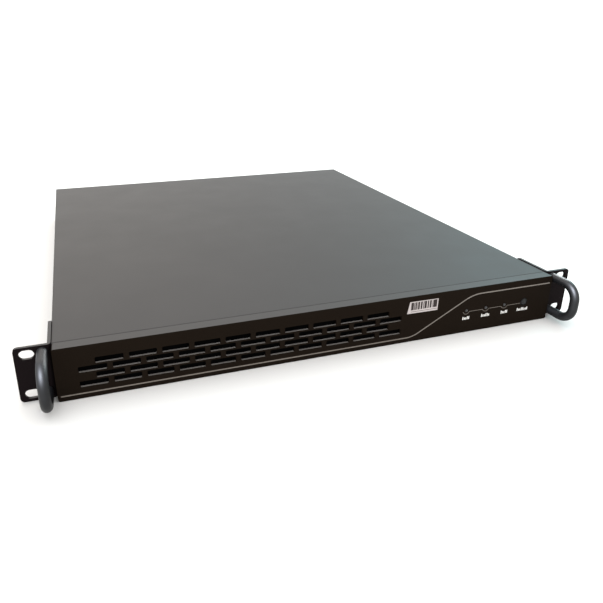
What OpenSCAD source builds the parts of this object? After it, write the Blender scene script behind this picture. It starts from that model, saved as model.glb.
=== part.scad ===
// Firewall appliance: a one-unit rack chassis with front handles.
// Millimetres. +X is to the right seen from the front, +Y runs from the front panel to the rear
// and +Z is up. The origin lies on the base, under the middle of the whole object.
// Every sub-part is laid out from the front panel's face, which from_front() carries into place.

/* [Chassis] */
// Width of the chassis between the rack ears
body_w = 431.5; // [430.5:0.5:432.5]
// Height of the chassis
body_h = 42.8; // [42.6:0.1:43.4]
// Depth from the front panel's face to the rear panel's face
body_d = 480; // [478:1:560]
// Thickness of the folded steel sheet
sheet_t = 1.2; // [1:0.1:1.2]
// Depth of the front panel's folded edge
bezel_d = 10; // [9.8:0.1:10.2]
// Thickness of the front panel
bezel_t = 2; // [1.6:0.1:2]

/* [Rack ears] */
// Width across both rack ears
rack_w = 482.6; // [482:0.1:483]
// Height of the ears
ear_h = 43.6; // [43.4:0.1:44]
// Thickness of the ears
ear_t = 2.5; // [2:0.1:2.5]
// Distance of the ears' front faces behind the front panel's face
ear_setback = 7.7; // [7:0.1:8]
// End of the ears' side flanges behind the front panel's face
ear_flange_end = 48; // [44:1:52]
// Distance between slot centres across the rack
slot_span = 465.1; // [464.6:0.1:465.6]
// Distance between slot centres up one ear
slot_rise = 31.75; // [31.5:0.05:32]
// Length of a rack slot
ear_slot_l = 10.4; // [9:0.1:10.4]
// Height of a rack slot
ear_slot_h = 7.2; // [6.5:0.1:7.2]

/* [Handles] */
// Distance of each handle from the middle of the chassis
handle_x = 222; // [222:0.1:223]
// Reach of the grip's centre line in front of the front panel's face
handle_reach = 22.5; // [22.5:0.1:40]
// Distance between the centre lines of a handle's two arms
handle_span = 32; // [31:0.5:32]
// Bend radius of a handle, on its centre line
handle_bend_r = 13; // [10:0.5:14]
// Diameter of the handle's bar
handle_d = 7.8; // [6.5:0.1:7.8]
// Height of the handles' middle
handle_mid = 22.3; // [21.8:0.1:22.3]

/* [Front panel] */
// Length of a vent slot
vent_l = 20.2; // [18:0.1:21]
// Height of a vent slot
vent_h = 4.5; // [4:0.1:4.7]
// Distance between slots along a row
vent_pitch_x = 24.1; // [23:0.1:24.5]
// Distance between rows of slots
vent_pitch_z = 6; // [5.6:0.1:6]
// Number of rows of slots
vent_rows = 4; // [2:1:4]
// Number of slots in the longer rows
vent_count = 11; // [5:1:11]
// Middle of the vent field, to the right of the chassis's middle
vent_x = -69; // [-70:0.5:-68]
// Height of the lowest slot's underside
vent_z = 9.4; // [9:0.1:10]
// Width of the decorative groove
groove_w = 1.2; // [0.8:0.1:1.6]
// Slope of the groove's rising stretch, in degrees
groove_slope = 28.8; // [24:0.1:34]
// Diameter of the power button
button_d = 5.8; // [5:0.1:6.2]
// Distance that the power button travels
button_travel = 1; // [0.5:0.1:1]

/* [Cooling] */
// Number of chassis fans
fan_count = 4; // [4:1:4]
// Width and height of a chassis fan
fan_size = 40; // [38:0.5:40]
// Depth of a chassis fan
fan_depth = 28; // [20:1:28]
// Distance between neighbouring fans
fan_pitch = 62; // [50:1:64]
// Number of blades on a fan rotor
blade_count = 7; // [5:1:9]

/* [Ports] */
// Number of network sockets
network_count = 6; // [2:1:6]
// Distance between neighbouring network sockets
network_pitch = 16; // [16:0.1:16.2]

/* [Hidden] */
$fn = 48;

panel_black = "#2a2826";
satin_black = "#3c3b3a";
zinc_grey = "#b4b6b8";
screw_steel = "#8d8f92";
moulded_black = "#1c1c1d";
board_green = "#1d4f38";
ivory = "#d8d2c4";
fin_silver = "#c2c5c8";
copper_gold = "#c79a4a";

gap = 0.3;
seam = 0.5;
half_w = body_w / 2;
mid_z = body_h / 2;
wall_top = body_h - sheet_t - gap;
inner_x = half_w - sheet_t;
rear_inner = body_d - sheet_t;

// The ears
ear_x = rack_w / 2;
ear_mid = ear_h / 2;
ear_back = ear_setback + ear_t;
ear_bend_r = ear_t + 0.5;
ear_corner_r = 3;
ear_screw_y = [20, 34];
ear_screw_z = [12, 31];

// The overall length, from the grips to the cover screws
screw_head_end = body_d + 10.2;
grip_front = -handle_reach - handle_d / 2;
front_y = -(grip_front + screw_head_end) / 2;

// The groove's run across the front panel
groove_low = 4;
groove_high = 36;
groove_depth = 0.5;
groove_start = -half_w + bezel_t;
groove_corner = 73.6;
groove_low_r = 24;
groove_high_r = 32;
groove_rise_w = (groove_high - groove_low) / tan(groove_slope);

// The indicators and the power button
led_x = [126.2, 146.4, 166.2];
led_z = 21.2;
led_d = 3;
button_x = 187.3;
button_z = 21;
board_post_x = [117.5, 198];
board_post_z = [12.5, 30.5];
front_board_y = 7.9;
front_board_t = 1.6;

// The fans
fan_front = 72;
fan_z = sheet_t + fan_size / 2;
fan_hole_span = 0.8 * fan_size;
function fan_x(i) = vent_x + (i - (fan_count + 1) / 2) * fan_pitch;

// The mainboard
board_x = [14, 208];
board_y = [body_d - 180, body_d - 5];
board_z = 8;
board_t = 1.6;
board_top = board_z + board_t;
board_hole_x = [20, 202];
board_hole_y = [body_d - 174, body_d - 92, body_d - 24];

// The memory, which stands along the air flow
memory_x = [28, 40];
memory_y = [body_d - 170, body_d - 37];
memory_h = 18.8;
latch_z = board_top + 5;

// The leads' routes along the chassis floor
power_lead_d = 9;
panel_lead_d = 4;
panel_plug_z = 14;
power_plug_z = 27;
power_route = [
    [-126, body_d - 190, 20], [-126, body_d - 196, 20], [-126, body_d - 202, 20], [-122, body_d - 212, 16],
    [-108, body_d - 219, 9], [-84, body_d - 222, 6.2], [-20, body_d - 222, 6.2], [40, body_d - 222, 6.2],
    [72, body_d - 221, 8], [88, body_d - 214, 13], [95, body_d - 202, 21], [96, body_d - 190, power_plug_z],
    [96, body_d - 183, power_plug_z], [96, body_d - 177, power_plug_z]
];
panel_route = [
    [142, 17, 27], [142, 20, 27], [142, 23, 27], [145, 32, 22], [156, 41, 12], [174, 47, 6], [190, 54, 4],
    [199, 68, 4], [200, 90, 4], [200, 140, 4], [200, 190, 4], [200, body_d - 230, 4],
    [197, body_d - 205, 5], [188, body_d - 192, 8], [181, body_d - 186, 12],
    [180, body_d - 180, panel_plug_z], [180, body_d - 177, panel_plug_z], [180, body_d - 174, panel_plug_z]
];

// The disk drive
disk_x = [104, 173.9];
disk_y = [70, 170.2];
disk_z = [11.2, 18.2];

// The power supply
supply_x = [-212, -112];
supply_y = [body_d - 190, rear_inner];
supply_z = [sheet_t, body_h - 2];
supply_t = 1;
supply_fan = 37;
supply_fan_x = -137;
supply_mid = (supply_z[0] + supply_z[1]) / 2;
inlet_x = -192.5;
rocker_x = -168;
rocker_tilt = 9;

// The rear ports
port_z = board_top;
network_x = 98;
console_x = 76;
usb_x = 58;
video_x = 33;
cover_screw_x = [-98, 200];
cover_screw_z = 33.5;
expansion_x = [-82, 0];
expansion_z = [7, 25.4];

// ---- Shared shapes ----

// Carries a sub-part from the front panel's face into the part's own frame.
module from_front() {
    translate([0, front_y, 0]) children();
}

// A box between three pairs of limits.
module block(x, y, z) {
    translate([x[0], y[0], z[0]]) cube([x[1] - x[0], y[1] - y[0], z[1] - z[0]]);
}

// Extrudes an outline drawn in X and Z along Y.
module along_y(y) {
    translate([0, y[1], 0]) rotate([90, 0, 0]) linear_extrude(y[1] - y[0]) children();
}

// Extrudes an outline drawn in Y and Z along X.
module along_x(x) {
    translate([x[0], 0, 0]) rotate([90, 0, 90]) linear_extrude(x[1] - x[0]) children();
}

module rod_x(x, y, z, d) {
    translate([x[0], y, z]) rotate([0, 90, 0]) cylinder(h = x[1] - x[0], d = d);
}

module rod_y(x, y, z, d) {
    translate([x, y[0], z]) rotate([-90, 0, 0]) cylinder(h = y[1] - y[0], d = d);
}

module rod_z(x, y, z, d) {
    translate([x, y, z[0]]) cylinder(h = z[1] - z[0], d = d);
}

// One rounded corner of an outline, as points on its arc.
function corner(x, y, r, start) = [for (i = [0:3]) [x + r * cos(start + 30 * i), y + r * sin(start + 30 * i)]];

// A rectangle with round corners, centred.
function rounded(w, h, r) = concat(
    corner(w / 2 - r, h / 2 - r, r, 0),
    corner(r - w / 2, h / 2 - r, r, 90),
    corner(r - w / 2, r - h / 2, r, 180),
    corner(w / 2 - r, r - h / 2, r, 270)
);

// A screw along +Y with its head's flat underside at the origin and its head towards -Y.
module screw(d, head_d, head_h, length) {
    difference() {
        union() {
            rod_y(0, [-head_h, 0], 0, head_d);
            rod_y(0, [0, length], 0, d);
        }
        for (turn = [0, 90]) rotate([0, turn, 0]) {
            block([-head_d * 0.3, head_d * 0.3], [-head_h - 1, -head_h * 0.45], [-0.35, 0.35]);
        }
    }
}

// A point on the smooth curve from b to c, with a before and d after them.
function between(a, b, c, d, t) =
    b + t * (c - a) / 2 + t * t * (2 * a - 5 * b + 4 * c - d) / 2 + t * t * t * (3 * b - a - 3 * c + d) / 2;

// A smooth curve through a route's points, four steps to each stretch.
function spline(p) = let (last = len(p) - 1, ends = concat([2 * p[0] - p[1]], p, [2 * p[last] - p[last - 1]])) concat(
    [for (i = [0:last - 1], t = [0:3]) between(ends[i], ends[i + 1], ends[i + 2], ends[i + 3], t / 4)],
    [p[last]]
);

// A round tube along a curve that nowhere runs straight up.
module tube(p, d) {
    sides = 8;
    last = len(p) - 1;
    rings = [
        for (i = [0:last])
            let (
                ahead = p[min(i + 1, last)] - p[max(i - 1, 0)],
                right = cross(ahead, [0, 0, 1]) / norm(cross(ahead, [0, 0, 1])),
                up = cross(right, ahead) / norm(ahead)
            )
            for (k = [0:sides - 1])
                p[i] + d / 2 * (cos(k * 360 / sides) * right + sin(k * 360 / sides) * up)
    ];
    walls = [
        for (i = [0:last - 1], k = [0:sides - 1])
            [i * sides + k, i * sides + (k + 1) % sides, (i + 1) * sides + (k + 1) % sides, (i + 1) * sides + k]
    ];
    polyhedron(rings, concat(
        [[for (k = [sides - 1:-1:0]) k]], walls, [[for (k = [0:sides - 1]) last * sides + k]]
    ));
}

// ---- Chassis ----

// The folded tray: floor, two side walls and a front wall with two windows.
module base_tray() {
    color(satin_black) from_front() difference() {
        union() {
            block([-half_w, half_w], [bezel_d, body_d], [0, sheet_t]);
            block([-half_w, half_w], [bezel_d, bezel_d + sheet_t], [0, wall_top]);
            for (side = [-1, 1]) {
                translate([side * (half_w - sheet_t / 2), 0, 0])
                    block([-sheet_t / 2, sheet_t / 2], [bezel_d, body_d], [0, wall_top]);
            }
        }
        block([-206, 68], [bezel_d - 1, bezel_d + sheet_t + 1], [6, 36]);
        block([111, 205], [bezel_d - 1, bezel_d + sheet_t + 1], [6, 37]);
        for (side = [-1, 1], y = ear_screw_y, z = ear_screw_z) {
            rod_x([side * half_w - 3, side * half_w + 3], y, z, 3);
        }
    }
}

// Outline of the flat D shape of the video socket.
module d_outline(w, h, grow) {
    top = w / 2 + grow;
    low = w / 2 - 2 + grow;
    polygon([[-low, -h / 2 - grow], [low, -h / 2 - grow], [top, h / 2 + grow], [-top, h / 2 + grow]]);
}

// The rear panel, with windows for the power supply, the expansion slot and the ports.
module rear_panel() {
    port_gap = 0.3;
    color(satin_black) from_front() difference() {
        union() {
            block([-inner_x, inner_x], [rear_inner, body_d], [sheet_t, wall_top]);
            for (side = [-1, 1]) {
                translate([side * (inner_x - sheet_t / 2), 0, 0])
                    block([-sheet_t / 2, sheet_t / 2], [rear_inner - 3, rear_inner], [4, 31]);
            }
            for (x = cover_screw_x) {
                rod_y(x, [rear_inner - 3, rear_inner], cover_screw_z, 6.4);
            }
        }
        block([supply_x[0] + 3, supply_x[1] - 3], [rear_inner - 1, body_d + 1], [4, 38.5]);
        block([expansion_x[0] + 4, expansion_x[1] - 4], [rear_inner - 1, body_d + 1], [9, 23.4]);
        for (x = cover_screw_x) {
            rod_y(x, [rear_inner - 4, body_d + 1], cover_screw_z, 3.8);
        }
        // Vent holes in staggered rows, above the expansion slot and above the ports
        for (row = [0:2], i = [0:15]) {
            rod_y(-79 + i * 5 + (row % 2) * 2.5, [rear_inner - 1, body_d + 1], 29 + row * 4.3, 3.2);
        }
        for (row = [0:2], i = [0:32]) {
            rod_y(18 + i * 5 + (row % 2) * 2.5, [rear_inner - 1, body_d + 1], 29 + row * 4.3, 3.2);
        }
        for (i = [0:network_count - 1]) {
            block(
                [network_x + i * network_pitch - 7.95 - port_gap, network_x + i * network_pitch + 7.95 + port_gap],
                [rear_inner - 1, body_d + 1],
                [port_z - port_gap, port_z + 13.4 + port_gap]
            );
        }
        block(
            [console_x - 7.95 - port_gap, console_x + 7.95 + port_gap],
            [rear_inner - 1, body_d + 1],
            [port_z - port_gap, port_z + 13.4 + port_gap]
        );
        block(
            [usb_x - 6.7 - port_gap, usb_x + 6.7 + port_gap],
            [rear_inner - 1, body_d + 1],
            [port_z - port_gap, port_z + 15.6 + port_gap]
        );
        translate([video_x, 0, port_z + 6.2])
            along_y([rear_inner - 1, body_d + 1]) d_outline(19.2, 8.4, port_gap);
        for (side = [-1, 1]) {
            rod_y(video_x + side * 12.5, [rear_inner - 1, body_d + 1], port_z + 6.2, 6);
        }
    }
}

// Points on an arc about a centre.
function arc(centre, r, from, to) = [
    for (i = [0:8]) centre + r * [cos(from + (to - from) * i / 8), sin(from + (to - from) * i / 8)]
];

// One long edge of the groove: side is 1 for the upper edge and -1 for the lower one.
function groove_edge(side) = concat(
    [[groove_start, groove_low + side * groove_w / 2]],
    arc(
        [groove_corner - groove_low_r * tan(groove_slope / 2), groove_low + groove_low_r],
        groove_low_r - side * groove_w / 2, 270, 270 + groove_slope
    ),
    arc(
        [groove_corner + groove_rise_w + groove_high_r * tan(groove_slope / 2), groove_high - groove_high_r],
        groove_high_r + side * groove_w / 2, 90 + groove_slope, 90
    ),
    [[half_w - bezel_t, groove_high + side * groove_w / 2]]
);

function reversed(points) = [for (i = [len(points) - 1:-1:0]) points[i]];

// The front panel: a shallow folded box with vent slots, a groove and holes for the indicators.
module front_panel() {
    color(panel_black) from_front() {
        difference() {
            along_y([0, bezel_d]) translate([0, mid_z]) polygon(rounded(body_w, body_h, 1.5));
            block(
                [bezel_t - half_w, half_w - bezel_t], [bezel_t, bezel_d + 1], [bezel_t, body_h - bezel_t]
            );
            for (row = [0:vent_rows - 1], i = [0:vent_count - 1 - row % 2]) {
                translate([
                    vent_x + (i - (vent_count - 1 - row % 2) / 2) * vent_pitch_x,
                    0,
                    vent_z + vent_h / 2 + row * vent_pitch_z
                ]) along_y([-1, bezel_t + 1]) polygon(rounded(vent_l, vent_h, 0.8));
            }
            along_y([-1, groove_depth]) polygon(concat(groove_edge(1), reversed(groove_edge(-1))));
            for (x = led_x) {
                rod_y(x, [-1, bezel_t + 1], led_z, led_d);
            }
            rod_y(button_x, [-1, bezel_t + 1], button_z, button_d + 2 * gap);
        }
        for (i = [0, 1]) {
            difference() {
                rod_y(board_post_x[i], [bezel_t, front_board_y], board_post_z[i], 5.5);
                rod_y(board_post_x[i], [bezel_t + 1, front_board_y + 1], board_post_z[i], 3);
            }
        }
    }
}

// One rack ear, for the right side: an angle of sheet steel with two open slots for rack screws.
module ear() {
    difference() {
        intersection() {
            linear_extrude(ear_h) {
                translate([half_w + ear_bend_r, ear_setback]) square([ear_x - half_w - ear_bend_r, ear_t]);
                translate([half_w, ear_setback + ear_bend_r])
                    square([ear_t, ear_flange_end - ear_setback - ear_bend_r]);
                intersection() {
                    translate([half_w + ear_bend_r, ear_setback + ear_bend_r]) difference() {
                        circle(ear_bend_r);
                        circle(ear_bend_r - ear_t);
                    }
                    translate([half_w, ear_setback]) square(ear_bend_r);
                }
            }
            along_y([0, body_d]) translate([ear_x - 50, ear_mid]) polygon(rounded(100, ear_h, ear_corner_r));
            along_x([half_w - 1, ear_x + 1]) translate([ear_flange_end - 50, ear_mid])
                polygon(rounded(100, ear_h, ear_corner_r));
        }
        for (up = [-1, 1]) {
            translate([slot_span / 2, 0, ear_mid + up * slot_rise / 2]) {
                for (side = [-1, 1]) {
                    rod_y(side * (ear_slot_l - ear_slot_h) / 2, [0, ear_back + 1], 0, ear_slot_h);
                }
                block(
                    [(ear_slot_h - ear_slot_l) / 2, (ear_slot_l - ear_slot_h) / 2],
                    [0, ear_back + 1],
                    [-ear_slot_h / 2, ear_slot_h / 2]
                );
            }
            rod_y(handle_x, [0, ear_back + 1], handle_mid + up * handle_span / 2, 4);
        }
        for (y = ear_screw_y, z = ear_screw_z) {
            rod_x([half_w - 1, half_w + ear_t + 1], y, z, 3);
            translate([half_w + ear_t - 1.6, y, z]) rotate([0, 90, 0]) cylinder(h = 1.6, d1 = 3, d2 = 6);
        }
    }
}

module right_ear() {
    color(satin_black) from_front() ear();
}

module left_ear() {
    color(satin_black) from_front() mirror([1, 0, 0]) ear();
}

// One handle, for the right side: a round bar bent into a bow and tapped at both ends.
module handle() {
    bend_y = handle_bend_r - handle_reach;
    translate([handle_x, 0, handle_mid]) difference() {
        union() {
            for (up = [-1, 1]) {
                rod_y(0, [bend_y, ear_setback], up * handle_span / 2, handle_d);
                translate([0, bend_y, up * (handle_span / 2 - handle_bend_r)]) rotate([90, 0, 90])
                    rotate([0, 0, up > 0 ? 90 : 180])
                        rotate_extrude(angle = 90) translate([handle_bend_r, 0]) circle(d = handle_d);
            }
            rod_z(
                0, -handle_reach,
                [handle_bend_r - handle_span / 2, handle_span / 2 - handle_bend_r], handle_d
            );
        }
        for (up = [-1, 1]) {
            rod_y(0, [ear_setback - 10, ear_setback + 1], up * handle_span / 2, 4);
        }
    }
}

module right_handle() {
    color(satin_black) from_front() handle();
}

module left_handle() {
    color(satin_black) from_front() mirror([1, 0, 0]) handle();
}

// Four screws from behind the ears into the handles' ends.
module handle_screws() {
    color(screw_steel) from_front() for (side = [-1, 1], up = [-1, 1]) {
        translate([side * handle_x, ear_back, handle_mid + up * handle_span / 2])
            rotate([0, 0, 180]) screw(4, 7, 2.4, ear_t + 8);
    }
}

// Eight countersunk screws that hold the ears' side flanges to the tray.
module ear_screws() {
    color(screw_steel) from_front() for (side = [0, 1]) mirror([side, 0, 0]) {
        for (y = ear_screw_y, z = ear_screw_z) {
            difference() {
                union() {
                    rod_x([half_w - 2.6, half_w + ear_t - 1.6], y, z, 3);
                    translate([half_w + ear_t - 1.6, y, z]) rotate([0, 90, 0]) cylinder(h = 1.6, d1 = 3, d2 = 6);
                }
                for (turn = [0, 90]) translate([half_w + ear_t, y, z]) rotate([turn, 0, 0]) {
                    block([-0.8, 1], [-1.7, 1.7], [-0.35, 0.35]);
                }
            }
        }
    }
}

// A paper label stuck on the front panel a little askew.
module serial_label() {
    color(ivory) from_front() translate([82.5, 0, 32.2]) rotate([0, 0.6, 0])
        along_y([-0.15, 0]) square([27, 10.8], center = true);
}

// Foam behind the vent slots, clamped by the tray's front wall.
module dust_filter() {
    color(moulded_black) from_front() block([-210, 70], [bezel_t, bezel_d - 1], [4, 38]);
}

// ---- Front controls ----

module power_button() {
    color(satin_black) from_front() {
        rod_y(button_x, [-0.9, bezel_t + 0.5], button_z, button_d);
        rod_y(button_x, [bezel_t + 0.5, bezel_t + 1.3], button_z, button_d + 2.4);
    }
}

// The tactile switch behind the power button.
module button_switch() {
    color(moulded_black) from_front() {
        block([button_x - 3, button_x + 3], [5.6, front_board_y], [button_z - 3, button_z + 3]);
        rod_y(button_x, [bezel_t + 1.3 + button_travel + gap, 5.6], button_z, 3.4);
    }
}

// Three indicator lamps that reach from the front board through the panel.
module status_leds() {
    color("#dfe6ea") from_front() for (x = led_x) {
        rod_y(x, [-0.2, front_board_y - 1.2], led_z, led_d - 0.2);
        rod_y(x, [front_board_y - 1.2, front_board_y], led_z, led_d + 0.8);
        translate([x, -0.2, led_z]) intersection() {
            sphere(d = led_d - 0.2);
            block([-2, 2], [-0.9, 0], [-2, 2]);
        }
    }
}

module front_board() {
    color(board_green) from_front() difference() {
        union() {
            block([113, 203], [front_board_y, front_board_y + front_board_t], [8.5, 34]);
            block([134, 150], [front_board_y + front_board_t, 17], [24, 30]);
        }
        for (i = [0, 1]) {
            rod_y(board_post_x[i], [front_board_y - 1, front_board_y + 3], board_post_z[i], 3);
        }
        block([135, 149], [front_board_y + front_board_t + 2, 18], [25, 29]);
    }
}

// A thin lead from the front board to the mainboard, with its plug standing on the mainboard.
module panel_lead() {
    color(moulded_black) from_front() {
        tube(spline(panel_route), panel_lead_d);
        translate(panel_route[len(panel_route) - 1]) block([-6, 6], [0, 6], [board_top - panel_plug_z, 4]);
    }
}

// ---- Chassis fans ----

// A folded plate across the air flow, with a round opening for each fan.
module fan_bracket() {
    back = fan_front + fan_depth;
    color(zinc_grey) from_front() difference() {
        union() {
            block([fan_x(1) - 34, fan_x(fan_count) + 34], [back, back + sheet_t], [sheet_t, 41]);
            block([fan_x(1) - 34, fan_x(fan_count) + 34], [back, back + 14], [sheet_t, 2 * sheet_t]);
        }
        for (i = [1:fan_count]) {
            rod_y(fan_x(i), [back - 1, back + 3], fan_z, fan_size - 2.4);
            for (side = [-1, 1], up = [-1, 1]) {
                rod_y(
                    fan_x(i) + side * fan_hole_span / 2, [back - 1, back + 3],
                    fan_z + up * fan_hole_span / 2, 3.5
                );
                // Room in the foot for the lower screws' heads
                rod_y(
                    fan_x(i) + side * fan_hole_span / 2, [back + sheet_t, back + 5],
                    fan_z + up * fan_hole_span / 2, 7
                );
            }
        }
    }
}

// A fan's square frame with its round duct, its motor seat and the four arms that carry the seat.
module fan_frame(size, depth) {
    duct_d = size - 2.4;
    difference() {
        along_y([0, depth]) polygon(rounded(size, size, 3));
        rod_y(0, [-1, depth + 1], 0, duct_d);
        for (side = [-1, 1], up = [-1, 1]) {
            rod_y(side * 0.4 * size, [-1, depth + 1], up * 0.4 * size, 3.5);
        }
    }
    rod_y(0, [depth - 3, depth], 0, 0.58 * size);
    for (turn = [45:90:315]) rotate([0, turn, 0]) {
        block([-1.2, 1.2], [depth - 3, depth], [size / 4, duct_d / 2 + 0.6]);
    }
}

// A fan's rotor: a hub and a ring of pitched blades.
module fan_rotor(size, depth) {
    tip_d = size - 2.4 - 1.2;
    hub_d = 0.54 * size;
    blade_d = depth - 9;
    rod_y(0, [1.5, depth - 4], 0, hub_d);
    intersection() {
        rod_y(0, [2, 2 + blade_d], 0, tip_d);
        for (i = [0:blade_count - 1]) rotate([0, i * 360 / blade_count, 0]) {
            translate([0, 2 + blade_d / 2, 0]) rotate([0, 0, 38])
                block([-0.6, 0.6], [-blade_d, blade_d], [hub_d / 2 - 2, size / 2]);
        }
    }
}

module placed_fan_frame(i) {
    color(moulded_black) from_front() translate([fan_x(i), fan_front, fan_z]) fan_frame(fan_size, fan_depth);
}

module placed_fan_rotor(i) {
    color(satin_black) from_front() translate([fan_x(i), fan_front, fan_z]) fan_rotor(fan_size, fan_depth);
}

module fan_screws() {
    color(screw_steel) from_front() for (i = [1:fan_count], side = [-1, 1], up = [-1, 1]) {
        translate([
            fan_x(i) + side * fan_hole_span / 2,
            fan_front + fan_depth + sheet_t,
            fan_z + up * fan_hole_span / 2
        ]) rotate([0, 0, 180]) screw(3.5, 6.4, 2, 8);
    }
}

// ---- Disk drive ----

module disk_bracket() {
    color(zinc_grey) from_front() difference() {
        union() {
            block([disk_x[0] - 2, disk_x[1] + 2], [disk_y[0], disk_y[1]], [disk_z[0] - sheet_t, disk_z[0]]);
            for (x = [disk_x[0] - 2, disk_x[1] + 2 - sheet_t]) {
                block([x, x + sheet_t], [disk_y[0], disk_y[1]], [sheet_t, disk_z[0]]);
            }
            block([disk_x[0] - 14, disk_x[0] - 2], [disk_y[0], disk_y[1]], [sheet_t, 2 * sheet_t]);
            block([disk_x[1] + 2, disk_x[1] + 14], [disk_y[0], disk_y[1]], [sheet_t, 2 * sheet_t]);
        }
        for (x = [disk_x[0] + 4, disk_x[1] - 4], y = [disk_y[0] + 14, disk_y[1] - 9.6]) {
            rod_z(x, y, [disk_z[0] - 3, disk_z[0] + 1], 3);
        }
        block([disk_x[0] + 14, disk_x[1] - 14], [disk_y[0] + 18, disk_y[1] - 22], [disk_z[0] - 3, disk_z[0] + 1]);
    }
}

module disk_drive() {
    color(satin_black) from_front() difference() {
        block(disk_x, disk_y, disk_z);
        block([disk_x[0] + 10, disk_x[0] + 46], [disk_y[1] - 6, disk_y[1] + 1], [disk_z[0] + 1.2, disk_z[0] + 5]);
        for (x = [disk_x[0] + 4, disk_x[1] - 4], y = [disk_y[0] + 14, disk_y[1] - 9.6]) {
            rod_z(x, y, [disk_z[0] - 1, disk_z[0] + 3], 3);
        }
    }
}

module disk_screws() {
    color(screw_steel) from_front() {
        for (x = [disk_x[0] + 4, disk_x[1] - 4], y = [disk_y[0] + 14, disk_y[1] - 9.6]) {
            translate([x, y, disk_z[0] - sheet_t]) rotate([90, 0, 0]) screw(3, 5, 1.6, sheet_t + 2.5);
        }
    }
}

// ---- Mainboard ----

module mainboard() {
    color(board_green) from_front() difference() {
        block(board_x, board_y, [board_z, board_top]);
        for (x = board_hole_x, y = board_hole_y) {
            rod_z(x, y, [board_z - 1, board_top + 1], 3.2);
        }
    }
}

module standoffs() {
    color(copper_gold) from_front() for (x = board_hole_x, y = board_hole_y) {
        difference() {
            translate([x, y, sheet_t]) cylinder(h = board_z - sheet_t, d = 6, $fn = 6);
            rod_z(x, y, [sheet_t + 1, board_z + 1], 3);
        }
    }
}

// Eight alike: six down into the standoffs and two into the front panel's posts.
module board_screws() {
    color(screw_steel) from_front() {
        for (x = board_hole_x, y = board_hole_y) {
            translate([x, y, board_top]) rotate([-90, 0, 0]) screw(3, 5.4, 2, board_t + 4);
        }
        for (i = [0, 1]) {
            translate([board_post_x[i], front_board_y + front_board_t, board_post_z[i]])
                rotate([0, 0, 180]) screw(3, 5.4, 2, front_board_t + 4);
        }
    }
}

module processor() {
    color(fin_silver) from_front() translate([110, body_d - 95, board_top]) {
        block([-24, 24], [-24, 24], [0, 2]);
        block([-19, 19], [-19, 19], [2, 4]);
    }
}

module heatsink() {
    fin_count = 19;
    color(fin_silver) from_front() translate([110, body_d - 95, board_top + 4]) {
        block([-40, 40], [-40, 40], [0, 4]);
        for (i = [0:fin_count - 1]) {
            translate([(i - (fin_count - 1) / 2) * 4.3, 0, 4]) block([-0.6, 0.6], [-40, 40], [0, 18]);
        }
    }
}

// Two sockets, each a long block with a slot for the module and a forked tower at either end.
module memory_sockets() {
    color(moulded_black) from_front() for (x = memory_x) {
        difference() {
            union() {
                block([x - 3.2, x + 3.2], [memory_y[0] - 6, memory_y[1] + 6], [board_top, board_top + 5]);
                block([x - 3.2, x + 3.2], [memory_y[0] - 6, memory_y[0] + 3], [board_top + 5, board_top + 9]);
                block([x - 3.2, x + 3.2], [memory_y[1] - 3, memory_y[1] + 6], [board_top + 5, board_top + 9]);
            }
            block([x - 0.75, x + 0.75], [memory_y[0], memory_y[1]], [board_top + 2, board_top + 10]);
            block([x - 1.9, x + 1.9], [memory_y[0] - 7, memory_y[0] - gap], [board_top + 2, board_top + 10]);
            block([x - 1.9, x + 1.9], [memory_y[1] + gap, memory_y[1] + 7], [board_top + 2, board_top + 10]);
            for (y = [memory_y[0] - 3, memory_y[1] + 3]) {
                rod_x([x - 4, x + 4], y, latch_z, 1.7);
            }
        }
    }
}

// Two low memory modules, each with chips on both faces and a notch for the latch at either end.
module memory_modules() {
    color(board_green) from_front() for (x = memory_x) {
        difference() {
            block([x - 0.65, x + 0.65], [memory_y[0] + 0.2, memory_y[1] - 0.2], [board_top + 2, board_top + 2 + memory_h]);
            for (y = memory_y) {
                block([x - 1, x + 1], [y - 1.6, y + 1.6], [board_top + 10.4, board_top + 15]);
            }
        }
        for (i = [0:7], side = [-1, 1]) {
            translate([x + side * 1.15, memory_y[0] + 14 + i * 15, board_top + 13.6])
                block([-0.5, 0.5], [-5, 5], [-4, 4]);
        }
    }
}

// A latch that swings outward on a pin through its socket's tower and hooks into the module's notch.
module memory_latch(x, y, out) {
    color(ivory) from_front() translate([x, y + out * 3, latch_z]) {
        rod_x([-3, 3], 0, 0, 1.6);
        rod_x([-1.6, 1.6], 0, 0, 3.6);
        translate([0, out * 0.8, 0]) block([-1.6, 1.6], [-1, 1], [0, 11]);
        translate([0, -out * 1.7, 0]) block([-1.6, 1.6], [-1.6, 1.6], [6.4, 8.6]);
        translate([0, out * 1.8, 0]) block([-3, 3], [-2, 2], [10, 12.4]);
    }
}

// The block on the mainboard that takes the power supply's lead.
module power_socket() {
    color(ivory) from_front() difference() {
        block([70, 122], [board_y[0] + 3, board_y[0] + 12], [board_top, board_top + 12]);
        for (i = [0:11], row = [0, 1]) {
            translate([74.4 + i * 3.93, board_y[0] + 5.6 + row * 4, board_top + 4])
                block([-1.4, 1.4], [-1.4, 1.4], [0, 9]);
        }
    }
}

// The supply's lead to the mainboard: a bundle of wires with a grommet at one end and a plug at the other.
module power_lead() {
    color(moulded_black) from_front() {
        tube(spline(power_route), power_lead_d);
        rod_y(power_route[0][0], [supply_y[0] - 2.5, supply_y[0]], power_route[0][2], power_lead_d + 5);
        block([71, 121], [board_y[0] + 3, board_y[0] + 12], [board_top + 12, power_plug_z + 6]);
    }
}

// ---- Rear ports ----

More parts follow.
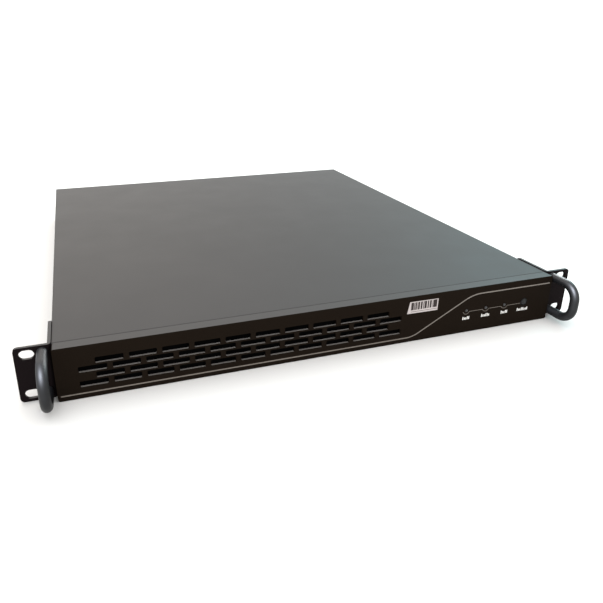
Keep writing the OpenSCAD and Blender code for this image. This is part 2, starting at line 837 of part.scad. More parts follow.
// One modular jack, with its opening towards the rear and the latch notch below.
module jack(x) {
    face = body_d + 0.5;
    translate([x, 0, port_z]) difference() {
        block([-7.95, 7.95], [face - 21, face], [0, 13.4]);
        block([-5.9, 5.9], [face - 14, face + 1], [4.2, 11.6]);
        block([-3, 3], [face - 14, face + 1], [1.6, 5]);
    }
}

module network_ports() {
    color(fin_silver) from_front() for (i = [0:network_count - 1]) {
        jack(network_x + i * network_pitch);
    }
}

module console_port() {
    color(fin_silver) from_front() jack(console_x);
}

// Two stacked serial bus sockets, each with its contact tongue.
module usb_ports() {
    face = body_d + 0.5;
    color(fin_silver) from_front() translate([usb_x, 0, port_z]) difference() {
        block([-6.7, 6.7], [face - 17, face], [0, 15.6]);
        for (z = [1.2, 9.2]) {
            block([-6.1, 6.1], [face - 12, face + 1], [z, z + 1.9]);
            block([-6.1, 6.1], [face - 1.5, face + 1], [z, z + 5.2]);
            block([-6.1, 6.1], [face - 12, face + 1], [z + 3.8, z + 5.2]);
        }
    }
}

// The video socket: a shell, an insert with three rows of holes and two hexagonal jack nuts.
module video_port() {
    face = body_d + 5.4;
    color(fin_silver) from_front() translate([video_x, 0, port_z + 6.2]) {
        block([-15.4, 15.4], [body_d - 18, rear_inner - gap], [-6.2, 6.2]);
        difference() {
            along_y([rear_inner - gap, face]) d_outline(17.4, 8, 0);
            along_y([face - 1, face + 1]) d_outline(17.4, 8, -0.6);
            for (row = [-1:1], i = [-2:2]) {
                rod_y(i * 2.29 + row * 0.57, [face - 6, face], row * 1.98, 1.1);
            }
        }
        for (side = [-1, 1]) {
            translate([side * 12.5, 0, 0]) difference() {
                translate([0, rear_inner - gap, 0]) rotate([-90, 0, 0]) cylinder(h = 6, d = 5.4, $fn = 6);
                rod_y(0, [body_d, body_d + 7], 0, 2.8);
            }
        }
    }
}

// The blanking plate over the unused expansion slot, with its screw hole.
module expansion_cover() {
    color(zinc_grey) from_front() {
        block([expansion_x[0] + 1, expansion_x[1] - 1], [rear_inner - 1, rear_inner], [expansion_z[0], expansion_z[1]]);
        block([expansion_x[1] - 2, expansion_x[1] - 1], [rear_inner - 12, rear_inner - 1], [expansion_z[0], expansion_z[1]]);
    }
}

// ---- Power supply ----

// The supply's folded case, open at the top, with windows for the inlet, the switch and the fan.
module power_supply_case() {
    color(zinc_grey) from_front() difference() {
        block(supply_x, supply_y, supply_z);
        block(
            [supply_x[0] + supply_t, supply_x[1] - supply_t],
            [supply_y[0] + supply_t, supply_y[1] - supply_t],
            [supply_z[0] + supply_t, supply_z[1] + 1]
        );
        block([inlet_x - 12, inlet_x + 12], [supply_y[1] - 3, supply_y[1] + 1], [supply_mid - 9, supply_mid + 9]);
        block([rocker_x - 6.2, rocker_x + 6.2], [supply_y[1] - 3, supply_y[1] + 1], [supply_mid - 9, supply_mid + 9]);
        // A round grille over the fan: rings of slots left between four spokes
        for (r = [6.5, 11, 15.5]) {
            translate([supply_fan_x, 0, supply_mid]) along_y([supply_y[1] - 3, supply_y[1] + 1]) difference() {
                circle(r + 1.5);
                circle(r - 1.5);
                for (turn = [45, 135]) rotate(turn) square([60, 2.4], center = true);
            }
        }
        for (row = [0:3], i = [0:10]) {
            block(
                [supply_x[0] + 8 + i * 6, supply_x[0] + 12 + i * 6],
                [supply_y[0] - 1, supply_y[0] + 3],
                [6 + row * 8, 11.5 + row * 8]
            );
        }
    }
}

module power_supply_lid() {
    color(zinc_grey) from_front() difference() {
        block(
            [supply_x[0] + supply_t, supply_x[1] - supply_t],
            [supply_y[0] + supply_t, supply_y[1] - supply_t],
            [supply_z[1] - 7, supply_z[1]]
        );
        block(
            [supply_x[0] + 2 * supply_t, supply_x[1] - 2 * supply_t],
            [supply_y[0], supply_y[1]],
            [supply_z[1] - 8, supply_z[1] - supply_t]
        );
        block(
            [supply_fan_x - supply_fan / 2 - 1, supply_fan_x + supply_fan / 2 + 1],
            [supply_y[1] - 25, supply_y[1]],
            [supply_z[1] - 8, supply_z[1] - supply_t]
        );
    }
}

module power_supply_board() {
    color("#8a6a35") from_front() {
        block([supply_x[0] + 4, supply_x[1] - 4], [supply_y[0] + 6, supply_y[1] - 30], [supply_z[0] + 4, supply_z[0] + 5.6]);
        for (x = [supply_x[0] + 10, supply_x[1] - 10], y = [supply_y[0] + 12, supply_y[1] - 36]) {
            rod_z(x, y, [supply_z[0] + supply_t, supply_z[0] + 4], 5);
        }
    }
}

module transformer() {
    color(copper_gold) from_front() translate([-165, body_d - 100, supply_z[0] + 5.6]) {
        block([-16, 16], [-14, 14], [0, 3]);
        rod_z(0, 0, [3, 21], 22);
        block([-16, 16], [-14, 14], [21, 24]);
    }
}

module capacitors() {
    color(satin_black) from_front() for (y = [body_d - 150, body_d - 124, body_d - 70]) {
        rod_z(-136, y, [supply_z[0] + 5.6, supply_z[0] + 33], y > body_d - 100 ? 16 : 22);
    }
}

module supply_fan_frame() {
    color(moulded_black) from_front()
        translate([supply_fan_x, supply_y[1] - supply_t - gap, supply_mid]) rotate([0, 0, 180])
            fan_frame(supply_fan, 20);
}

module supply_fan_rotor() {
    color(satin_black) from_front()
        translate([supply_fan_x, supply_y[1] - supply_t - gap, supply_mid]) rotate([0, 0, 180])
            fan_rotor(supply_fan, 20);
}

// The mains inlet: a moulded socket with two corners cut off, open towards the rear.
module mains_inlet() {
    face = supply_y[1] + 2;
    color(moulded_black) from_front() translate([inlet_x, 0, supply_mid]) difference() {
        union() {
            along_y([supply_y[1], face]) polygon(rounded(27.6, 23, 2));
            block([-12, 12], [face - 19, supply_y[1]], [-9, 9]);
        }
        along_y([face - 16, face + 1]) polygon([[-11, -7.5], [11, -7.5], [11, 3], [6.5, 7.5], [-6.5, 7.5], [-11, 3]]);
        for (pin = [[-7, -1], [7, -1], [0, 3]]) {
            block([pin[0] - 1, pin[0] + 1], [face - 20, face - 10], [pin[1] - 2, pin[1] + 2]);
        }
    }
}

module inlet_pins() {
    face = supply_y[1] + 2;
    color(copper_gold) from_front() translate([inlet_x, 0, supply_mid]) {
        for (pin = [[-7, -1], [7, -1], [0, 3]]) {
            block([pin[0] - 1, pin[0] + 1], [face - 24, face - 3], [pin[1] - 2, pin[1] + 2]);
        }
    }
}

// The frame of the mains switch, with a bore on either side for the rocker's pivot.
module rocker_housing() {
    face = supply_y[1] + 2;
    color(moulded_black) from_front() translate([rocker_x, 0, supply_mid]) difference() {
        union() {
            along_y([supply_y[1], face]) polygon(rounded(15, 21, 1.5));
            block([-6.2, 6.2], [face - 16, supply_y[1]], [-9, 9]);
        }
        block([-5, 5], [face - 11, face + 1], [-8, 8]);
        rod_x([-6, 6], face - 4, 0, 2.2);
    }
}

// The rocker: a block with a shallow V face on a round pivot, pressed in at its lower end.
module rocker_switch() {
    face = supply_y[1] + 2;
    color(satin_black) from_front() translate([rocker_x, face - 4, supply_mid]) rotate([-rocker_tilt, 0, 0]) {
        rod_x([-5.9, 5.9], 0, 0, 2);
        along_x([-4.7, 4.7]) polygon([[-1.5, -6], [3.2, -7.2], [4.6, -7], [3.6, 0], [4.6, 7], [3.2, 7.2], [-1.5, 6]]);
    }
}

// ---- Cover ----

// The cover: a flat plate with a skirt inside either wall and two tabs down over the rear panel.
module top_cover() {
    skirt_x = inner_x - 0.8;
    color(satin_black) from_front() difference() {
        union() {
            block([-half_w, half_w], [bezel_d + seam, body_d + gap + sheet_t], [body_h - sheet_t, body_h]);
            for (side = [-1, 1]) {
                translate([side * (skirt_x - sheet_t / 2), 0, 0])
                    block([-sheet_t / 2, sheet_t / 2], [20, body_d - 34], [33, body_h - sheet_t]);
            }
            for (x = cover_screw_x) {
                block([x - 9, x + 9], [body_d + gap, body_d + gap + sheet_t], [27.5, body_h - sheet_t]);
            }
        }
        for (x = cover_screw_x) {
            rod_y(x, [body_d, body_d + 3], cover_screw_z, 3.8);
        }
    }
}

// Two knurled thumbscrews that stay captive in the cover's tabs.
module cover_screws() {
    head_start = body_d + 2 * gap + sheet_t;
    color(screw_steel) from_front() for (x = cover_screw_x) {
        rod_y(x, [body_d - 6, head_start], cover_screw_z, 3);
        difference() {
            rod_y(x, [head_start, screw_head_end], cover_screw_z, 9);
            block([x - 3, x + 3], [screw_head_end - 1.2, screw_head_end + 1], [cover_screw_z - 0.5, cover_screw_z + 0.5]);
        }
    }
}

base_tray();
rear_panel();
front_panel();
left_ear();
right_ear();
left_handle();
right_handle();
handle_screws();
ear_screws();
serial_label();
dust_filter();
power_button();
button_switch();
status_leds();
front_board();
panel_lead();
fan_bracket();
placed_fan_frame(1);  // fan_frame_1
placed_fan_frame(2);  // fan_frame_2
placed_fan_frame(3);  // fan_frame_3
placed_fan_frame(4);  // fan_frame_4
placed_fan_rotor(1);  // fan_rotor_1
placed_fan_rotor(2);  // fan_rotor_2
placed_fan_rotor(3);  // fan_rotor_3
placed_fan_rotor(4);  // fan_rotor_4
fan_screws();
disk_bracket();
disk_drive();
disk_screws();
mainboard();
standoffs();
board_screws();
processor();
heatsink();
memory_sockets();
memory_modules();
memory_latch(memory_x[0], memory_y[0], -1);  // memory_latch_1
memory_latch(memory_x[0], memory_y[1], 1);  // memory_latch_2
memory_latch(memory_x[1], memory_y[0], -1);  // memory_latch_3
memory_latch(memory_x[1], memory_y[1], 1);  // memory_latch_4
power_socket();
power_lead();
network_ports();
console_port();
usb_ports();
video_port();
expansion_cover();
power_supply_case();
power_supply_lid();
power_supply_board();
transformer();
capacitors();
supply_fan_frame();
supply_fan_rotor();
mains_inlet();
inlet_pins();
rocker_housing();
rocker_switch();
top_cover();
cover_screws();
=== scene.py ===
import math

import bmesh
import bpy
from mathutils import Matrix, Vector


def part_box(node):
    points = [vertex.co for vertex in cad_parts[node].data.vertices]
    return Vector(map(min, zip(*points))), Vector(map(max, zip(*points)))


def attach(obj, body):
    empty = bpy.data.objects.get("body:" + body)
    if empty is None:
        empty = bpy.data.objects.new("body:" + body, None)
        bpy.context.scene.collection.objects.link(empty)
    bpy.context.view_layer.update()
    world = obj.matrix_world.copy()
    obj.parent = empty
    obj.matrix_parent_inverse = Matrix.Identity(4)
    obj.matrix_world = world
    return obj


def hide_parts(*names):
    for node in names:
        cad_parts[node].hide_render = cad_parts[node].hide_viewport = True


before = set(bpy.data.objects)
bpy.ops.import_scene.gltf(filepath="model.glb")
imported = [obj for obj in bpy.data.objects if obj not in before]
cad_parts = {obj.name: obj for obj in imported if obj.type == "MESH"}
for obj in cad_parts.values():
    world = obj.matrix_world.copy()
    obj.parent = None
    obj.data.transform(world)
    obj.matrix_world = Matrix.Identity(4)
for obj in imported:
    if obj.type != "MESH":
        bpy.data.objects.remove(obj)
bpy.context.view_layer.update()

# ---- Camera ----
# A camera on a stand, a little to the left of the rack unit and looking down on its front panel.
# Its place is counted from the middle of the front panel's lower edge.

mm = 0.001
panel_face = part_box("front_panel")[0].y

lens_x, lens_y, lens_z = -184 * mm, -383 * mm, 245 * mm
camera_turn = math.radians(-18.23)
camera_tilt = math.radians(21.3)
focal_length = 34.76
sight_right, sight_low = 0.0571, -0.0626

camera = bpy.data.objects.new("camera", bpy.data.cameras.new("camera"))
bpy.context.scene.collection.objects.link(camera)
camera.location = (lens_x, panel_face + lens_y, lens_z)
camera.rotation_euler = (math.pi / 2 - camera_tilt, 0, camera_turn)
camera.data.sensor_width = 36
camera.data.lens = focal_length
camera.data.shift_x = sight_right
camera.data.shift_y = sight_low
camera.data.clip_start = 0.01
camera.data.clip_end = 50
bpy.context.scene.camera = camera
bpy.context.scene.view_settings.view_transform = "Standard"

# ---- Base tray ----
# The tray is one sheet of steel, folded up into the floor, the two sides and the front wall.
# It is painted satin black after folding, so the paint rounds the cut edges.

folded_edge = 0.25 * mm
paint_patch = 45 * mm


def linear(shade):
    """An sRGB hex colour as the linear colour that a shader takes."""
    parts = [int(shade[i:i + 2], 16) / 255 for i in (1, 3, 5)]
    return [p / 12.92 if p <= 0.04045 else ((p + 0.055) / 1.055) ** 2.4 for p in parts] + [1.0]


def add(tree, kind, settings, inputs):
    """One shader node with its settings, and its inputs set to values or joined to other nodes."""
    made = tree.nodes.new(kind)
    for name, value in settings.items():
        setattr(made, name, value)
    for place, value in inputs.items():
        if isinstance(value, bpy.types.NodeSocket):
            tree.links.new(value, made.inputs[place])
        else:
            made.inputs[place].default_value = value
    return made


def surface(name, shade, roughness, grain, relief, spread=0.05, patchy=0.04, metal=0.0, specular=0.5):
    """A finish with a fine grain, whose width and height in millimetres are grain and relief."""
    made = bpy.data.materials.new(name)
    made.use_nodes = True
    tree = made.node_tree
    shader = tree.nodes["Principled BSDF"]
    place = add(tree, "ShaderNodeTexCoord", {}, {})
    at = place.outputs["Object"]
    fine = add(tree, "ShaderNodeTexNoise", {}, {"Vector": at, "Scale": 1 / (grain * mm), "Detail": 2.0})
    broad = add(tree, "ShaderNodeTexNoise", {}, {"Vector": at, "Scale": 1 / paint_patch, "Detail": 3.0})
    base = linear(shade)
    darker = [c * (1 - 2 * spread) for c in base[:3]] + [1.0]
    lighter = [c * (1 + 2 * spread) for c in base[:3]] + [1.0]
    tone = add(
        tree, "ShaderNodeMix", {"data_type": "RGBA"},
        {"Factor": broad.outputs["Fac"], 6: darker, 7: lighter},
    )
    gloss = add(
        tree, "ShaderNodeMapRange", {},
        {"Value": broad.outputs["Fac"], "From Min": 0.3, "From Max": 0.7,
         "To Min": roughness - patchy, "To Max": roughness + patchy},
    )
    bumps = add(
        tree, "ShaderNodeBump", {}, {"Height": fine.outputs["Fac"], "Distance": relief * mm}
    )
    tree.links.new(tone.outputs[2], shader.inputs["Base Color"])
    tree.links.new(gloss.outputs["Result"], shader.inputs["Roughness"])
    tree.links.new(bumps.outputs["Normal"], shader.inputs["Normal"])
    shader.inputs["Metallic"].default_value = metal
    shader.inputs["Specular IOR Level"].default_value = specular
    return made


def piece(shape, name, finish, slot, *nodes, body="chassis", spread=30):
    """Turns a bmesh into a piece of the object that stands for the CAD nodes named."""
    sharp = math.radians(spread)
    for face in shape.faces:
        face.smooth = True
    for edge in shape.edges:
        edge.smooth = len(edge.link_faces) == 2 and edge.calc_face_angle(0) < sharp
    mesh = bpy.data.meshes.new(name)
    shape.to_mesh(mesh)
    shape.free()
    mesh.materials.append(finish)
    made = bpy.data.objects.new(name, mesh)
    bpy.context.scene.collection.objects.link(made)
    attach(made, body)
    if nodes:
        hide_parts(*nodes)
    return made


def merged(node):
    """A CAD node's shape with its loose triangles joined and its flat faces made whole."""
    shape = bmesh.new()
    shape.from_mesh(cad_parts[node].data)
    bmesh.ops.remove_doubles(shape, verts=shape.verts[:], dist=2e-6)
    bmesh.ops.dissolve_limit(
        shape, angle_limit=math.radians(0.3), verts=shape.verts[:], edges=shape.edges[:]
    )
    return shape


def eased(made, width, steps=2):
    """Rounds a piece's sharp edges."""
    bevel = made.modifiers.new("edges", "BEVEL")
    bevel.width = width
    bevel.segments = steps
    bevel.limit_method = "ANGLE"
    bevel.angle_limit = math.radians(35)
    bevel.use_clamp_overlap = True
    bevel.harden_normals = True
    return made


# Satin black stoving paint: smooth, with a faint orange peel that softens what it reflects,
# and broad, slow changes of gloss where the spray was thicker.
case_paint = surface("satin_case_paint", "#33302f", 0.66, 1.4, 0.012, spread=0.09, patchy=0.03)

eased(piece(merged("base_tray"), "tray", case_paint, "cover_paint", "base_tray"), folded_edge)

# ---- Rear panel ----
# A painted steel plate let in between the tray's sides, punched for the supply, the expansion
# slot, the sockets and two fields of vent holes.

punched_edge = 0.12 * mm
eased(
    piece(merged("rear_panel"), "rear_plate", case_paint, "cover_paint", "rear_panel"),
    punched_edge, steps=1,
)

# ---- Front panel ----
# A shallow box folded from 2 mm steel, with slots cut through it in four staggered rows.
# The face has a matt, slightly warm powder coat. Its upward faces carry painted highlights:
# the satin paint of the cover on the top return, and a pale grey on the sills of the slots.

# Matt powder coat: a fine, dry texture, thick enough to round every edge. Its shine is cut
# almost to nothing: painted shade that keeps the front face dark.
powder_coat = surface(
    "black_powder_coat", "#19130e", 0.66, 0.9, 0.03, spread=0.08, specular=0.02
)
# Pale grey, flat: a painted highlight on the upward sill of each slot, seen as a thin line.
sill_highlight = surface("painted_sill_highlight", "#777370", 0.7, 0.8, 0.02)

panel_wall = 2 * mm
coated_edge = 0.3 * mm
vents_low, vents_high = 6 * mm, 37 * mm
faces_up = 0.9

bezel = piece(merged("front_panel"), "bezel", powder_coat, "black_paint", "front_panel")
bezel.data.materials.append(case_paint)
bezel.data.materials.append(sill_highlight)
# Upward faces are given painted highlights: satin paint above the vents, pale grey on the sills.
for face in bezel.data.polygons:
    if face.normal.z > faces_up:
        if face.center.z > vents_high:
            face.material_index = 1
        elif face.center.y < panel_face + panel_wall and face.center.z > vents_low:
            face.material_index = 2
eased(bezel, coated_edge)

# ---- Trim line ----
# A shallow groove milled into the front panel and filled with warm grey enamel.
# It runs low under the vents, climbs past them and runs high above the lamps.

groove_width = 1 * mm
groove_low, groove_high = 4 * mm, 36 * mm
groove_slope = math.radians(28.8)
groove_corner = 73.6 * mm
low_bend, high_bend = 24 * mm, 32 * mm
bend_steps = 8
fill_below, fill_depth = 0.1 * mm, 0.12 * mm
trim_ends = 213.6 * mm


def strip_start(shape, at, across):
    """The first edge of a flat strip: its middle, and the half step across it."""
    ends = [shape.verts.new(at - across), shape.verts.new(at + across)]
    return ends + [shape.edges.new(ends)]


def strip_on(shape, last, step):
    """Carries a strip straight on by a step and returns its new last edge."""
    grown = bmesh.ops.extrude_edge_only(
        shape, edges=[g for g in last if isinstance(g, bmesh.types.BMEdge)]
    )["geom"]
    bmesh.ops.translate(
        shape, verts=[g for g in grown if isinstance(g, bmesh.types.BMVert)], vec=step
    )
    return [g for g in grown if not isinstance(g, bmesh.types.BMFace)]


def strip_round(shape, last, centre, turn, steps):
    """Carries a strip round an arc in the panel's plane: a positive turn climbs."""
    return bmesh.ops.spin(
        shape, geom=last, cent=centre, axis=(0, -1, 0), angle=turn, steps=steps,
        use_duplicate=False,
    )["geom_last"]


def thickened(shape, depth):
    """Gives a flat strip on the front panel its depth, towards the rear."""
    bmesh.ops.recalc_face_normals(shape, faces=shape.faces[:])
    if sum(f.normal.y for f in shape.faces) > 0:
        bmesh.ops.reverse_faces(shape, faces=shape.faces[:])
    back = bmesh.ops.extrude_face_region(shape, geom=shape.faces[:], use_keep_orig=True)["geom"]
    bmesh.ops.translate(
        shape, verts=[g for g in back if isinstance(g, bmesh.types.BMVert)], vec=(0, depth, 0)
    )
    bmesh.ops.recalc_face_normals(shape, faces=shape.faces[:])


half_turn = math.tan(groove_slope / 2)
climb = (groove_high - groove_low) / math.tan(groove_slope)
low_start = groove_corner - low_bend * half_turn
high_end = groove_corner + climb + high_bend * half_turn
slope_length = (
    (groove_high - groove_low) / math.sin(groove_slope) - (low_bend + high_bend) * half_turn
)

line = bmesh.new()
fill_y = panel_face + fill_below
edge = strip_start(line, Vector((-trim_ends, fill_y, groove_low)), Vector((0, 0, groove_width / 2)))
edge = strip_on(line, edge, (low_start + trim_ends, 0, 0))
edge = strip_round(
    line, edge, (low_start, fill_y, groove_low + low_bend), groove_slope, bend_steps
)
edge = strip_on(
    line, edge,
    (slope_length * math.cos(groove_slope), 0, slope_length * math.sin(groove_slope)),
)
edge = strip_round(
    line, edge, (high_end, fill_y, groove_high - high_bend), -groove_slope, bend_steps
)
strip_on(line, edge, (trim_ends - high_end, 0, 0))
thickened(line, fill_depth)

# Enamel filling: a warm grey, a little glossier than the powder coat round it.
line_enamel = surface("grey_enamel", "#756d65", 0.45, 2.0, 0.01)
piece(line, "trim_line", line_enamel, None)

# ---- Printed marks ----
# Screen-printed inks: a fine grey line that joins the lamps and dips round each one, and
# white bars below each lamp and the button where the legends would be.

lamp_places = [126.2 * mm, 146.4 * mm, 166.2 * mm]
lamp_height = 21.2 * mm
button_place = 187.3 * mm
ink_height = 0.05 * mm
link_line = 0.34 * mm
link_height = 20 * mm
dip_radius = 3.4 * mm
legend_height = 14.2 * mm
legends = [(126.6 * mm, 5), (146.9 * mm, 6), (167 * mm, 5), (186.8 * mm, 8)]
bar_pitch, bar_wide = 1.5 * mm, 0.86 * mm
bar_foot = 1.7 * mm
tall_bar, short_bar = 2.9 * mm, 2.1 * mm
line_ends_short = 3.6 * mm

marks, link = bmesh.new(), bmesh.new()
ink_y = panel_face - ink_height
dip_angle = math.asin((lamp_height - link_height) / dip_radius)
dip_reach = dip_radius * math.cos(dip_angle)
for i, x in enumerate(lamp_places):
    centre = Vector((x, ink_y, lamp_height))
    out = Vector((-math.cos(dip_angle), 0, -math.sin(dip_angle)))
    edge = strip_start(link, centre + out * dip_radius, out * link_line / 2)
    strip_round(link, edge, centre, math.pi - 2 * dip_angle, 12)
    next_x = (lamp_places + [button_place])[i + 1]
    edge = strip_start(
        link, Vector((x + dip_reach, ink_y, link_height)), Vector((0, 0, link_line / 2))
    )
    clear = dip_reach if i < len(lamp_places) - 1 else line_ends_short
    strip_on(link, edge, (next_x - x - dip_reach - clear, 0, 0))
for x, count in legends:
    for i in range(count):
        tall = tall_bar if i % 4 in (0, 3) else short_bar
        bar_x = x + (i - (count - 1) / 2) * bar_pitch
        at = Vector((bar_x, ink_y, legend_height - bar_foot + tall / 2))
        edge = strip_start(marks, at - Vector((bar_wide / 2, 0, 0)), Vector((0, 0, tall / 2)))
        strip_on(marks, edge, (bar_wide, 0, 0))
thickened(marks, ink_height)
thickened(link, ink_height)

# Printing ink: flat white, thin enough for the coat's grain to show.
white_ink = surface("white_ink", "#f0eeea", 0.6, 0.9, 0.02)
piece(marks, "panel_marks", white_ink, None)
piece(link, "lamp_link", line_enamel, None)

# ---- Serial label ----
# A paper label stuck above the climbing line, with a slanting left edge. It carries plain bars
# and a fine rule, no words.

bar_ink = "#37302f"
bar_width = 0.42 * mm
bare_share = 0.3
bars_left, bars_right = 69.8 * mm, 95.8 * mm
bars_low, bars_high = 29.9 * mm, 36.9 * mm
rule_low, rule_high = 28.2 * mm, 28.6 * mm
slant_top, slant_foot = -0.6 * mm, -2.5 * mm


def label_paper():
    """Satin paper, off-white, with black bars of uneven width printed across it."""
    made = surface("label_paper", "#b9b0ae", 0.6, 0.6, 0.01, specular=0.1)
    tree = made.node_tree
    shader = tree.nodes["Principled BSDF"]
    paper = shader.inputs["Base Color"].links[0].from_socket
    place = add(tree, "ShaderNodeTexCoord", {}, {})
    axes = add(tree, "ShaderNodeSeparateXYZ", {}, {"Vector": place.outputs["Object"]})
    column = add(
        tree, "ShaderNodeMath", {"operation": "SNAP"}, {0: axes.outputs["X"], 1: bar_width}
    )
    draw = add(
        tree, "ShaderNodeTexWhiteNoise", {"noise_dimensions": "1D"}, {"W": column.outputs[0]}
    )
    inked = add(
        tree, "ShaderNodeMath", {"operation": "GREATER_THAN"},
        {0: draw.outputs["Value"], 1: bare_share},
    )
    spans = []
    for axis, low, high in (
        ("Z", bars_low, bars_high), ("Z", rule_low, rule_high), ("X", bars_left, bars_right)
    ):
        at = axes.outputs[axis]
        over = add(tree, "ShaderNodeMath", {"operation": "GREATER_THAN"}, {0: at, 1: low})
        under = add(tree, "ShaderNodeMath", {"operation": "LESS_THAN"}, {0: at, 1: high})
        both = {0: over.outputs[0], 1: under.outputs[0]}
        spans.append(add(tree, "ShaderNodeMath", {"operation": "MULTIPLY"}, both).outputs[0])
    in_bars, in_rule, in_width = spans
    bars = add(
        tree, "ShaderNodeMath", {"operation": "MULTIPLY"}, {0: inked.outputs[0], 1: in_bars}
    )
    printed = add(
        tree, "ShaderNodeMath", {"operation": "MAXIMUM"}, {0: bars.outputs[0], 1: in_rule}
    )
    shown = add(
        tree, "ShaderNodeMath", {"operation": "MULTIPLY"}, {0: printed.outputs[0], 1: in_width}
    )
    ink = add(
        tree, "ShaderNodeMix", {"data_type": "RGBA"},
        {"Factor": shown.outputs[0], 6: paper, 7: linear(bar_ink)},
    )
    tree.links.new(ink.outputs[2], shader.inputs["Base Color"])
    return made


label_low, label_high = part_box("serial_label")
label_middle = (label_low + label_high) / 2
label_edge = 0.04 * mm
sticker = merged("serial_label")
for corner in sticker.verts:
    if corner.co.x < label_middle.x:
        corner.co.x += slant_top if corner.co.z > label_middle.z else slant_foot
eased(piece(sticker, "label", label_paper(), "label_paper", "serial_label"), label_edge, steps=1)

# ---- Lamps and power button ----
# Three water-clear lamps stand just proud of the panel. The button is a domed cap of glossy
# plastic in a dark collar, pushed through from behind.

lens_radius, lens_rise = 1.25 * mm, 0.9 * mm
lens_stem = 5 * mm
turned_sides = 32

# Clear acrylic, clouded inside so that an unlit lamp is a small grey bead.
lens_plastic = surface("clouded_acrylic", "#3e3e3e", 0.3, 6.0, 0.0, specular=0.3)
# Glossy ABS: near black, with the light mirrored on its low dome.
button_plastic = surface("glossy_abs", "#101010", 0.22, 6.0, 0.002, specular=0.3)


def turned(profile, axis_x, axis_z, segments=turned_sides):
    """A lathe-turned shape about an axis that runs front to rear, from (radius, y) points."""
    shape = bmesh.new()
    dots = [shape.verts.new((axis_x + r, y, axis_z)) for r, y in profile]
    lines = [shape.edges.new(pair) for pair in zip(dots, dots[1:])]
    bmesh.ops.spin(
        shape, geom=dots + lines, cent=(axis_x, 0, axis_z), axis=(0, 1, 0),
        angle=2 * math.pi, steps=segments, use_merge=True,
    )
    bmesh.ops.remove_doubles(shape, verts=shape.verts[:], dist=1e-6)
    bmesh.ops.recalc_face_normals(shape, faces=shape.faces[:])
    return shape


def joined(shapes):
    """One bmesh from several."""
    whole = bmesh.new()
    for part in shapes:
        spare = bpy.data.meshes.new("spare")
        part.to_mesh(spare)
        part.free()
        whole.from_mesh(spare)
        bpy.data.meshes.remove(spare)
    return whole


def dome(radius, height, start, steps=8):
    """Profile points of a dome that rises by height in front of y = start."""
    turns = [math.pi / 2 * i / steps for i in range(steps + 1)]
    return [(radius * math.sin(t), start - height * math.cos(t)) for t in turns]


lens_profile = dome(lens_radius, lens_rise, panel_face - 0.1 * mm) + [
    (lens_radius, panel_face + lens_stem), (0, panel_face + lens_stem)
]
lenses = joined([turned(lens_profile, x, lamp_height) for x in lamp_places])
piece(lenses, "lamp_lenses", lens_plastic, "lamp_lens", "status_leds", spread=50)

button_low, button_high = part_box("power_button")
button_x = (button_low.x + button_high.x) / 2
button_z = (button_low.z + button_high.z) / 2
cap_radius, flange_radius = 2.9 * mm, 4.1 * mm
cap_crown, cap_edge = 0.35 * mm, 0.75 * mm
flange_y = panel_face + 2.5 * mm
cap_profile = dome(cap_radius - cap_crown, cap_crown, button_low.y + cap_crown) + [
    (cap_radius, button_low.y + cap_edge), (cap_radius, flange_y),
    (flange_radius, flange_y), (flange_radius, button_high.y), (0, button_high.y),
]
piece(
    turned(cap_profile, button_x, button_z), "button_cap", button_plastic, "rotor_plastic",
    "power_button", body="button", spread=40,
)

# Dull black nylon of the collar, which frames the cap. Its near-black ring is also painted
# shade for the dark recess round the cap.
collar_nylon = surface("collar_nylon", "#0b0b0b", 0.5, 1.5, 0.02, specular=0.1)
collar_bore, collar_rim = 3.2 * mm, 3.75 * mm
collar_back = panel_face + 1.9 * mm
collar_profile = [
    (collar_bore, collar_back), (collar_bore, panel_face - 0.12 * mm),
    (collar_bore + 0.12 * mm, panel_face - 0.22 * mm),
    (collar_rim - 0.1 * mm, panel_face - 0.2 * mm),
    (collar_rim, panel_face - 0.04 * mm), (collar_rim, panel_face + 0.05 * mm),
    (collar_bore + 0.15 * mm, collar_back), (collar_bore, collar_back),
]
piece(turned(collar_profile, button_x, button_z), "button_collar", collar_nylon, None, spread=50)

# ---- Dust filter ----
# A pad of open-cell foam, cut to size and set behind the vent slots. Its edges are soft and
# round from the cutting.

# Polyurethane foam, black; its colour is pushed darker still and its shine taken away as
# painted shade, so that the slots look black.
foam = surface("filter_foam", "#050505", 0.95, 1.2, 0.5, spread=0.3, specular=0.0)

pad_low, pad_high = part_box("dust_filter")
pad_clearance = Vector((0, 0.4 * mm, 0))
pad_round = 1.2 * mm
pad = bmesh.new()
bmesh.ops.create_cube(pad, size=1, matrix=Matrix.LocRotScale(
    (pad_low + pad_high) / 2, None, pad_high - pad_low - pad_clearance
))
bmesh.ops.bevel(
    pad, geom=pad.edges[:], offset=pad_round, segments=3, profile=0.5, affect="EDGES", material=-1
)
piece(pad, "filter_pad", foam, "filter_foam", "dust_filter")

# ---- Rack ears ----
# Two angles of 2.5 mm steel, folded and slotted. Their faces are powder coated like the panel,
# and their upward faces take the case's satin paint as a painted highlight.

ear_edge = 0.4 * mm
# Powder coat: the panel's, a little thinner and blacker, its shine cut almost to nothing:
# painted shade that keeps the front faces dark.
ear_paint = surface("ear_powder_coat", "#171213", 0.6, 0.9, 0.025, specular=0.02)
for side in ("left", "right"):
    node = side + "_ear"
    ear = piece(merged(node), side + "_rack_ear", ear_paint, "ear_paint", node)
    ear.data.materials.append(case_paint)
    # Upward faces take the satin paint: a painted highlight chosen by facing.
    for face in ear.data.polygons:
        if face.normal.z > faces_up:
            face.material_index = 1
    eased(ear, ear_edge)

# ---- Handles ----
# Each handle is a round steel bar bent into a bow, enamelled black and screwed on from behind.

bar_sides = 32
bow_bend, bend_rings = 13 * mm, 14
# Baked enamel over steel: black, with a soft sheen that follows the bar round.
handle_enamel = surface("handle_enamel", "#09090a", 0.5, 2.5, 0.012, specular=0.28)

